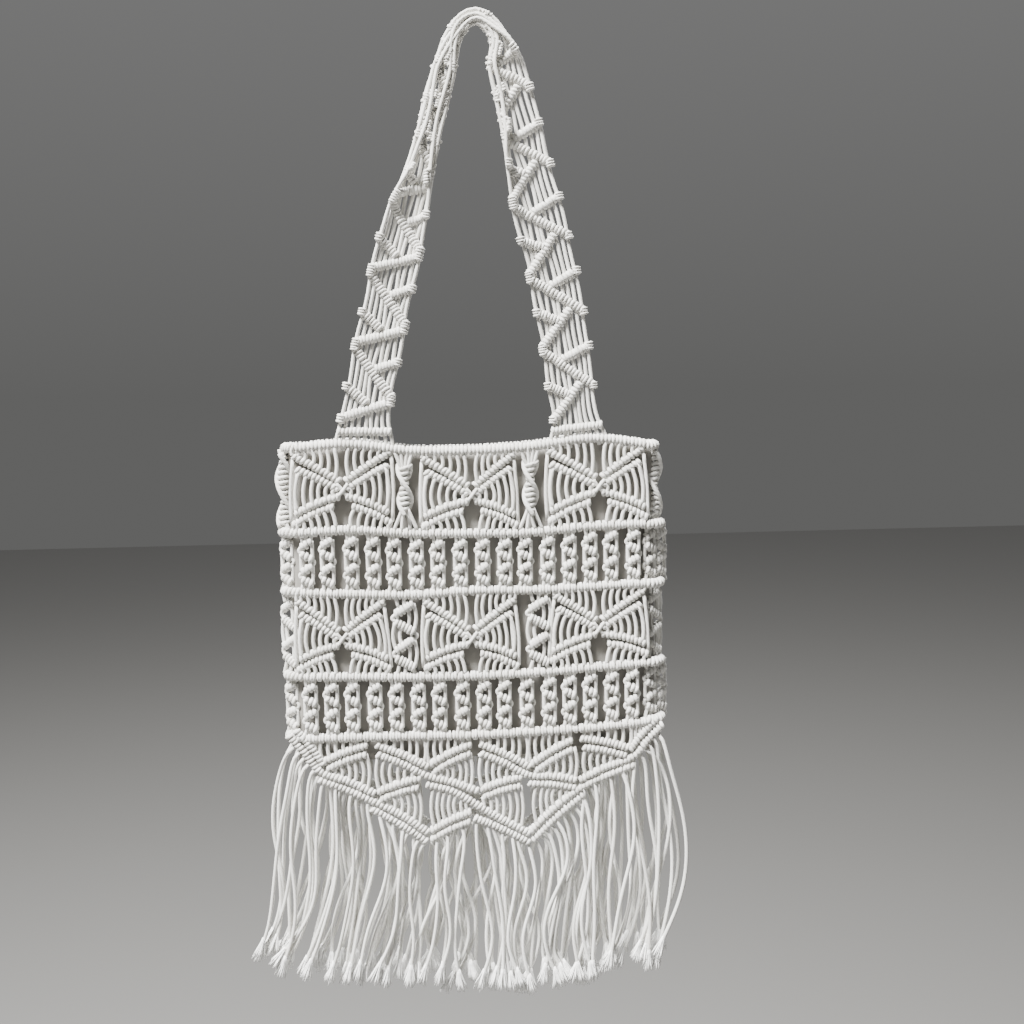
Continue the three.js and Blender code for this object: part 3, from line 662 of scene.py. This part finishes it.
# The hem's lower outline, from which the cords hang.
fringe_half_width = 151
fringe_outline = [
    (-fringe_half_width, -556),
    hem_upper_row[1],
    hem_middle_row[1],
    *hem_lower_row[1:4],
    hem_middle_row[5],
    hem_upper_row[7],
    (fringe_half_width, -556),
]
fringe_cords = 72
fringe_steps = 30
tuft_fibres = 46
tuft_points = 5
tuft_length = 17
tuft_spread = 4.3
fringe_cotton = cotton("fringe_cotton", (0.84, 0.835, 0.805), (0.58, 0.565, 0.525), 0.22)
frayed_cotton = cotton("frayed_cotton", (0.96, 0.955, 0.94), (0.91, 0.905, 0.885), 0.1)


def fringe(face_seed):
    """The loose cords of one face and their tufts."""
    wave = np.random.default_rng(face_seed)

    def rough(size, reach):
        """A value for each cord, shared in part by its neighbours within reach."""
        values = wave.normal(0, 1, fringe_cords + 2 * reach)
        kernel = np.ones(2 * reach + 1) / math.sqrt(2 * reach + 1)
        return size * np.clip(np.convolve(values, kernel, "valid"), -1.9, 1.9)[:, None]

    share = np.linspace(-0.985, 0.985, fringe_cords)
    start_x = share * fringe_half_width
    start_z = row_z(fringe_outline, start_x) - 5
    # The ends cling together in bunches of one to four.
    bunch = np.cumsum(wave.random(fringe_cords) < 0.42)
    middles = np.array([share[bunch == b].mean() for b in bunch])
    end_x = np.interp(middles, fringe_guides[:, 0], fringe_guides[:, 1]) + wave.normal(0, 4, fringe_cords)
    end_z = np.interp(middles, fringe_guides[:, 0], fringe_guides[:, 2]) + wave.normal(0, 3.5, fringe_cords)
    t = np.linspace(0, 1, fringe_steps)[None, :]
    drop = (start_z - end_z)[:, None] * t
    # A cord leaves its row square, so it first arches away from the hem's slope, then hangs.
    slope = (row_z(fringe_outline, start_x + 4) - row_z(fringe_outline, start_x - 4))[:, None] / 8
    arch = 7 * slope * (1 - np.exp(-drop / 9)) * np.exp(-drop / 70)
    late = 2.2 + 2.6 * np.abs(share[:, None]) ** 4
    x = start_x[:, None] + arch + (end_x - start_x)[:, None] * t**late
    # Broad waves, some shared with the neighbours.
    hang = np.sin(math.pi * t) ** 0.8
    swing = np.sin(2 * math.pi * t)
    for size, reach, shape in ((4.2, 0, hang), (4, 2, hang), (4, 0, swing), (2.4, 1, swing)):
        x = x + rough(size, reach) * shape
    # Small waves that fade downwards, and an outward bow of the cords at the two ends.
    phase = rough(1, 0) * math.pi
    x = x + 1.5 * (np.sin(3.2 * math.pi * t + phase) - np.sin(phase)) * (1 - t)
    bulge = np.where(share[:, None] > 0, 16, -13) * np.abs(share[:, None]) ** 8
    x = x + bulge * np.sin(math.pi * t) ** 1.2
    z = start_z[:, None] - drop + 1.5 * (1 - np.exp(-drop / 5))
    # Neighbours lie at different depths.
    layer = ((np.arange(fringe_cords) * 0.618) % 1 * 10 - 6)[:, None]
    out = layer * np.clip(drop / 25, 0, 1) + rough(1.5, 0) * np.sin(math.pi * t)
    cords = np.stack([x, np.clip(out, -8, 7.5), z], axis=-1)
    # A tuft: fine fibres that spread from the last few millimetres of the cord.
    tip = cords[:, -1]
    way = unit(cords[:, -1] - cords[:, -3] + (0, 0, -3))
    side_a = unit(np.cross(way, (0, 1, 0)))
    side_b = np.cross(way, side_a)
    spin = wave.random((fringe_cords, tuft_fibres)) * 2 * math.pi
    spread = np.sqrt(wave.random((fringe_cords, tuft_fibres))) * tuft_spread
    radial = np.cos(spin)[..., None] * side_a[:, None] + np.sin(spin)[..., None] * side_b[:, None]
    s = np.linspace(0, 1, tuft_points)[None, None, :, None]
    length = tuft_length * (0.8 + 0.3 * wave.random((fringe_cords, tuft_fibres)))
    length = length[..., None, None]
    fibres = tip[:, None, None] + way[:, None, None] * (s * length - 6)
    fibres = fibres + radial[:, :, None] * (0.9 + spread[..., None, None] * s**1.2)
    fibres = fibres.reshape(-1, tuft_points, 3)
    taper = (0.85 * np.linspace(1, 0.55, tuft_points))[None, :, None]
    tufts = (fibres, np.array([0.3, 1, 0.2]), taper, 0.6 * taper)
    return [(cords, np.array([0, 1, 0.0]), cord_radius, cord_radius)], [tufts]


for label, face, seed in (("front", -1, 21), ("back", 1, 22)):
    cords, tufts = fringe(seed)
    piece = cord_mesh(label + "_fringe_cords", on_face(cords, face))
    finish_cords(piece, fringe_cotton, "fringe_cord", label + "_fringe")
    piece = cord_mesh(label + "_fringe_tufts", on_face(tufts, face), sides=4)
    finish_cords(piece, frayed_cotton, "fringe_cord", label + "_fringe")

# The sides. Each bar turns round the side from the front to the back. Between the bars the cords there
# are tied as a spiral, a zigzag chain, a wider zigzag and a chain again, with two chains next to each
# other at the right. In these tables -1 is the left side and 1 the right, and a spiral's facing at its
# top is in radians.
side_x = 147.5
side_bars = ("top", "upper", "upper_middle", "lower_middle", "lowest")
side_sinnet_x = {-1: 149.5, 1: 147}
side_chains = {-1: (0,), 1: (-5, 7)}
side_spiral_facing = {-1: 1.08, 1: 1.77}
side_turn_degrees = 34
side_bar_wraps = 12


def side_groups(side):
    """The bars' turns and the sinnets of one side."""
    groups = []
    angle = np.linspace(-math.pi / 2, math.pi / 2, 30)
    for bar in side_bars:
        z = float(bar_z(bar, side * side_x))
        radial = np.stack([side * np.cos(angle), np.sin(angle), 0 * angle], axis=1)
        jut = face_y - 2 if bar == "top" else face_y + 2.5
        route = radial * (jut, face_y, 0) + (side * face_end_x + body_centre_x, 0, z)
        groups += hitch_row(route, side_bar_wraps, bar_height, facing=radial)
    patterns = []
    for above, below in zip(side_bars, side_bars[1:]):
        top = float(bar_z(above, side * side_x)) - clear_of_bar
        bottom = float(bar_z(below, side * side_x)) + clear_of_bar
        if above == "top":
            patterns.append(spiral(0, top, bottom, 32, side_spiral_facing[side], (3, 3), 4, 5.8))
        elif above == "upper_middle":
            patterns.append(zigzag(0, top, bottom, 6.2, 5, 7.4, steep=0.62, float_bulge=0.25))
        else:
            for x in side_chains[side]:
                patterns.append(zigzag(x, top, bottom, 5, 3, 8, steep=0.5, float_bulge=0.05))
    # The sinnets are turned to look a little outwards.
    turn = side * math.radians(side_turn_degrees)
    along = np.array([math.cos(turn), math.sin(turn), 0])
    out = np.array([math.sin(turn), -math.cos(turn), 0])
    centre = np.array([body_centre_x + side * side_sinnet_x[side], -2, 0])
    up = np.array([0, 0, 1])
    for pattern in patterns:
        for points, flat, wide, deep in pattern:
            flat = np.broadcast_to(np.asarray(flat, float), points.shape)
            turned = centre + points[..., :1] * along + points[..., 1:2] * out + points[..., 2:] * up
            flat = flat[..., :1] * along + flat[..., 1:2] * out + flat[..., 2:] * up
            groups.append((turned, flat, wide, deep))
    return groups


for label, side in (("left", -1), ("right", 1)):
    piece = cord_mesh(label + "_side_sinnets", side_groups(side))
    finish_cords(piece, knotted_cotton, "knotted_cord", label + "_side")

# The lining. A pouch of smooth cotton cloth, folded at the bottom, seamed up both sides and sewn to the top
# edge. It hangs inside the net and hardly creases. Its grey-beige colour is partly the cloth's own and
# partly painted shade, the shade it lies in behind the net.
lining_bottom = -579
lining_half_depth = 5.5
lining_end_x = 141
lining_thickness = 0.7
lining_rows = 30
arc = np.linspace(-math.pi / 2, math.pi / 2, 7)
straight = np.linspace(-lining_end_x, lining_end_x, 26)[1:-1]
right_end = lining_half_depth * np.stack([np.cos(arc), np.sin(arc)], axis=1) + (lining_end_x, 0)
front_run = np.stack([straight, 0 * straight - lining_half_depth], axis=1)
ring = np.concatenate([front_run, right_end, -front_run, -right_end])
corners, faces = [], []
lining_rims = bar_z("top", ring[:, 0]) + 1
for row in range(lining_rows + 1):
    share = row / lining_rows
    close = min(1, 6 * (1 - share)) ** 0.5
    for (x, y), rim in zip(ring, lining_rims):
        height = rim + (lining_bottom - rim) * share
        # Faint folds that hang down, and fainter ones that run askew.
        fold = 0.5 * math.sin(0.085 * x + 2.5 * math.sin(share * 5)) * math.sin(math.pi * share)
        fold += 0.35 * math.sin(0.031 * x - share * 7)
        corners.append(((body_centre_x + x) * 0.001, (y * close + fold) * 0.001, height * 0.001))
around = len(ring)
for row in range(lining_rows):
    for i in range(around):
        a, b = row * around + i, row * around + (i + 1) % around
        faces.append((a, a + around, b + around, b))
lining_mesh = bpy.data.meshes.new("lining_pouch")
lining_mesh.from_pydata(corners, [], faces)
lining = bpy.data.objects.new("lining_pouch", lining_mesh)
bpy.context.collection.objects.link(lining)
bpy.ops.object.select_all(action="DESELECT")
lining.select_set(True)
bpy.context.view_layer.objects.active = lining
bpy.ops.object.mode_set(mode="EDIT")
bpy.ops.mesh.select_all(action="SELECT")
bpy.ops.mesh.remove_doubles(threshold=0.00005)
bpy.ops.mesh.normals_make_consistent(inside=False)
bpy.ops.object.mode_set(mode="OBJECT")
bpy.ops.object.shade_smooth()
wall = lining.modifiers.new("cloth", "SOLIDIFY")
wall.thickness = lining_thickness * 0.001
wall.offset = -1
bpy.ops.object.modifier_apply(modifier="cloth")

lining_cloth = bpy.data.materials.new("lining_cloth")
lining_cloth.use_nodes = True
cloth_tree = lining_cloth.node_tree
cloth_node = cloth_tree.nodes.new
cloth_link = cloth_tree.links.new
cloth_shader = cloth_tree.nodes["Principled BSDF"]
cloth_shader.inputs["Roughness"].default_value = 0.85
cloth_shader.inputs["Specular IOR Level"].default_value = 0.2
cloth_coords = cloth_node("ShaderNodeTexCoord")
threads = []
for direction in ("X", "Z"):
    thread = cloth_node("ShaderNodeTexWave")
    thread.bands_direction = direction
    thread.inputs["Scale"].default_value = 420
    thread.inputs["Distortion"].default_value = 0.6
    thread.inputs["Detail"].default_value = 1
    cloth_link(cloth_coords.outputs["Object"], thread.inputs["Vector"])
    threads.append(thread.outputs["Fac"])
weave = cloth_node("ShaderNodeMath")
weave.operation = "MULTIPLY"
cloth_link(threads[0], weave.inputs[0])
cloth_link(threads[1], weave.inputs[1])
mottle = cloth_node("ShaderNodeTexNoise")
mottle.inputs["Scale"].default_value = 22
cloth_link(cloth_coords.outputs["Object"], mottle.inputs["Vector"])
cloth_mix = cloth_node("ShaderNodeMath")
cloth_mix.operation = "MULTIPLY_ADD"
cloth_mix.inputs[1].default_value = 0.3
cloth_link(weave.outputs[0], cloth_mix.inputs[0])
cloth_link(mottle.outputs["Fac"], cloth_mix.inputs[2])
# Painted shade: the lining's colour is kept dark grey-beige, partly the cloth's own pale tone and partly
# the shade inside the bag behind the net.
cloth_ramp = cloth_node("ShaderNodeValToRGB")
cloth_ramp.color_ramp.elements[0].position = 0.3
cloth_ramp.color_ramp.elements[0].color = (0.25, 0.238, 0.218, 1)
cloth_ramp.color_ramp.elements[1].position = 0.9
cloth_ramp.color_ramp.elements[1].color = (0.34, 0.328, 0.305, 1)
cloth_link(cloth_mix.outputs[0], cloth_ramp.inputs["Fac"])
cloth_link(cloth_ramp.outputs["Color"], cloth_shader.inputs["Base Color"])
cloth_bump = cloth_node("ShaderNodeBump")
cloth_bump.inputs["Strength"].default_value = 0.35
cloth_bump.inputs["Distance"].default_value = 0.0002
cloth_link(weave.outputs[0], cloth_bump.inputs["Height"])
cloth_link(cloth_bump.outputs["Normal"], cloth_shader.inputs["Normal"])
lining.data.materials.append(lining_cloth)
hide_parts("lining")
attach(lining, "root")

# The strap. Nine cords run up from the front top edge, over the hanging point and down again, hitched
# over slanting rows that run from edge to edge and shorter rows that meet them in the middle. The band
# curls lengthwise as it nears the top, so that its two edges almost meet in front.
strap_foot_offset = 84.5
strap_foot_z = -318.7
strap_top_z = 8.1
strap_half_width = 19
strap_points = 400
# Rows go up a leg from its foot. Columns: share of the way up, share of the way across to the hanging
# point, width as a share of the strap's, and how far the edges have curled, 1 being wholly.
left_leg = [
    (0, 0, 1.24, 0),
    (0.051, 0.01, 1.02, 0.03),
    (0.137, 0.06, 0.97, 0.05),
    (0.223, 0.13, 0.96, 0.07),
    (0.336, 0.22, 0.95, 0.1),
    (0.465, 0.33, 0.96, 0.18),
    (0.563, 0.43, 0.98, 0.4),
    (0.64, 0.51, 1, 0.75),
    (0.72, 0.586, 1, 1),
    (0.8, 0.655, 0.98, 1),
    (0.878, 0.73, 0.92, 1),
    (0.951, 0.81, 0.84, 1),
    (0.988, 0.9, 0.8, 1),
]
right_leg = [
    (0, 0, 1.24, 0),
    (0.051, 0.02, 0.98, 0.02),
    (0.146, 0.08, 0.97, 0.04),
    (0.226, 0.12, 0.99, 0.05),
    (0.317, 0.18, 0.99, 0.06),
    (0.41, 0.25, 1.02, 0.08),
    (0.517, 0.36, 1.03, 0.14),
    (0.614, 0.45, 1.05, 0.3),
    (0.719, 0.53, 1.05, 0.72),
    (0.807, 0.61, 1.05, 1),
    (0.896, 0.71, 0.98, 1),
    (0.957, 0.78, 0.84, 1),
    (0.988, 0.88, 0.8, 1),
]


def leg_stations(leg, side):
    """Places of the strap's middle up one leg, with its width and its curl."""
    foot_x = body_centre_x + side * strap_foot_offset
    stations = []
    for rise, lean, width, curl in leg:
        z = strap_foot_z + (strap_top_z - strap_foot_z) * rise
        stations.append((foot_x * (1 - lean), -face_y * (1 - rise), z, width, curl))
    return stations


strap_stations = leg_stations(left_leg, -1)
strap_stations.append((0, 0, strap_top_z, 0.8, 1))
strap_stations += reversed(leg_stations(right_leg, 1))
strap_stations = evenly(smooth_path(strap_stations, strap_points), strap_points)
strap_length = np.linalg.norm(np.diff(strap_stations[:, :3], axis=0), axis=1).sum()
strap_along = unit(np.gradient(strap_stations[:, :3], axis=0))
# The wholly curled strap, as the direction of its surface across its width: 0 where it runs outwards and
# 180 where it runs back inwards, in front. Columns: side, from -1, the edge inside the loop, to 1, the
# edge outside it, and the direction in degrees.
left_curl = ((-1, -160), (-0.75, -160), (-0.36, 0), (0.36, 0), (0.75, 160), (1, 160))
right_curl = ((-1, -155), (-0.72, -155), (-0.42, 0), (0.7, 0), (0.9, 50), (1, 50))
top_curl = ((-1, -170), (-0.56, -170), (-0.24, 0), (0.24, 0), (0.56, 170), (1, 170))
sides_across = np.linspace(-1, 1, 81)


def strap_sections():
    """For each station and side of the strap: place across, place ahead and direction."""
    curls = (left_curl, right_curl, top_curl)
    left, right, top = (np.radians(np.interp(sides_across, *zip(*curl))) for curl in curls)
    # The left leg's curl goes over into the right leg's at the top, where the strap is pinched.
    along = np.linspace(0, 1, strap_points)[:, None]
    to_right = np.clip((along - 0.48) / 0.07, 0, 1)
    at_top = np.clip(1.4 - np.abs(along - 0.5) / 0.05, 0, 1)
    angle = strap_stations[:, 4:] * (left * (1 - to_right) + right * to_right)
    angle = angle * (1 - at_top) + top * at_top
    step = strap_stations[:, 3:4] * strap_half_width * (sides_across[1] - sides_across[0])
    across = np.cumsum(np.cos(angle) * step, axis=1)
    ahead = np.cumsum(np.sin(angle) * step, axis=1)
    across -= (across.max(axis=1) + across.min(axis=1))[:, None] / 2
    ahead -= ahead.mean(axis=1)[:, None]
    return np.stack([across, ahead, angle], axis=-1)


strap_profile = strap_sections()


def strap_surface(distance, side, lift=0.0):
    """Points of the strap and the way its surface looks, for distances along it in mm and sides from -1,
    the edge inside the loop, to 1, the edge outside it."""
    at = np.clip(np.asarray(distance, float) / strap_length, 0, 1) * (strap_points - 1)
    place = (np.clip(side, -1, 1) + 1) / 2 * (len(sides_across) - 1) + 0 * at
    i = np.minimum(at.astype(int), strap_points - 2)
    j = np.minimum(place.astype(int), len(sides_across) - 2)
    u = (at - i)[..., None]
    v = (place - j)[..., None]
    before = strap_profile[i, j] * (1 - v) + strap_profile[i, j + 1] * v
    after = strap_profile[i + 1, j] * (1 - v) + strap_profile[i + 1, j + 1] * v
    across, ahead, angle = np.moveaxis(before * (1 - u) + after * u, -1, 0)[..., None]
    centre = strap_stations[i, :3] * (1 - u) + strap_stations[i + 1, :3] * u
    along = unit(strap_along[i] * (1 - u) + strap_along[i + 1] * u)
    outward = unit(np.cross(along, (0.0, 1, 0)))
    forward = unit(np.cross(outward, along))
    forward = forward * -np.sign(forward[..., 1:2])
    normal = forward * np.cos(angle) - outward * np.sin(angle)
    return centre + outward * across + forward * ahead + normal * lift, normal


def strap_row(first, last, wraps, height, lift=0.8):
    """A row of hitches on the strap from (distance, side) to (distance, side)."""
    t = np.linspace(0, 1, 40)
    distance, side = (a * (1 - t) + b * t for a, b in zip(first, last))
    places, normals = strap_surface(distance, side, lift)
    return hitch_row(places, wraps, height, facing=normals, slant=0.15)


strap_cords = 9
strap_row_height = 8
strap_foot_drop = 7
strap_groups = []
t = np.linspace(0, 1, 150)
for i in range(strap_cords):
    side = -0.93 + 1.86 * i / (strap_cords - 1)
    drift = 0.035 * np.sin(t * 2 * math.pi * 11 + rng.random() * 6) + 0.02 * np.sin(t * 50 + i)
    places, normals = strap_surface(t * strap_length, side + drift, 0.3 * np.sin(t * 75 + 2 * i)[:, None])
    # Each end runs on down into the top edge.
    drop = (0, 0, strap_foot_drop)
    places = np.concatenate([places[:1] - drop, places, places[-1:] - drop])
    normals = np.concatenate([normals[:1], normals, normals[-1:]])
    strap_groups.append((places[None], normals[None], 1.55, 1.55))
# The pattern of the left leg, -1, and of the right leg, 1. Columns: start and end of a row, each as
# distance in shares of the repeat and as side, -1 being the left edge seen from the front, and wraps.
repeat = 58.5
repeats = 6
leg_patterns = {
    -1: (
        ((0.0, -0.98), (0.29, 0.98), 14),
        ((0.41, -0.98), (0.235, -0.02), 7),
        ((0.93, -0.98), (0.37, 0.98), 16),
        ((0.86, 0.98), (0.7, 0.08), 7),
    ),
    1: (
        ((0.0, -0.98), (0.45, 0.45), 12),
        ((0.47, -0.98), (0.31, -0.1), 7),
        ((0.93, -0.98), (0.39, 0.98), 16),
        ((0.93, 0.98), (0.79, -0.2), 8),
    ),
}
foot_row_distance = 8
first_repeat = 17
curled_edges = {-1: (-0.58, 0.58), 1: (-0.58,)}
curl_starts = 0.31 * strap_length
curl_ends = strap_length / 2 - 12


def leg_row(leg, first, last, *sizes):
    """A row of hitches on one leg, from and to a distance from its foot and a side."""
    ends = []
    for distance, side in (first, last):
        ends.append((distance if leg < 0 else strap_length - distance, side * leg))
    return strap_row(*ends, *sizes)


for leg in (-1, 1):
    strap_groups += leg_row(leg, (foot_row_distance, -1), (foot_row_distance + 1, 1), 14, 7.2)
    for number in range(repeats):
        for first, last, wraps in leg_patterns[leg]:
            ends = [(first_repeat + repeat * (number + share), side) for share, side in (first, last)]
            if max(ends)[0] > strap_length / 2 - 4:
                continue
            strap_groups += leg_row(leg, *ends, wraps, strap_row_height)
            # The carrying cord turns at the edge in a small tight knot.
            for end, side in ends:
                if abs(side) > 0.5:
                    strap_groups += leg_row(leg, (end - 3, side), (end + 3, side), 3, 7.5, 1.2)
    # Where the band has curled, its knots stand out along the turned edges.
    for side in curled_edges[leg]:
        for distance in np.arange(curl_starts, curl_ends, repeat / 2):
            knot = (distance - 3.2, side), (distance + 3.2, side)
            strap_groups += leg_row(leg, *knot, 3, 8.5, 1.6)
strap = cord_mesh("strap_knotting", strap_groups)
finish_cords(strap, knotted_cotton, "knotted_cord", "strap")
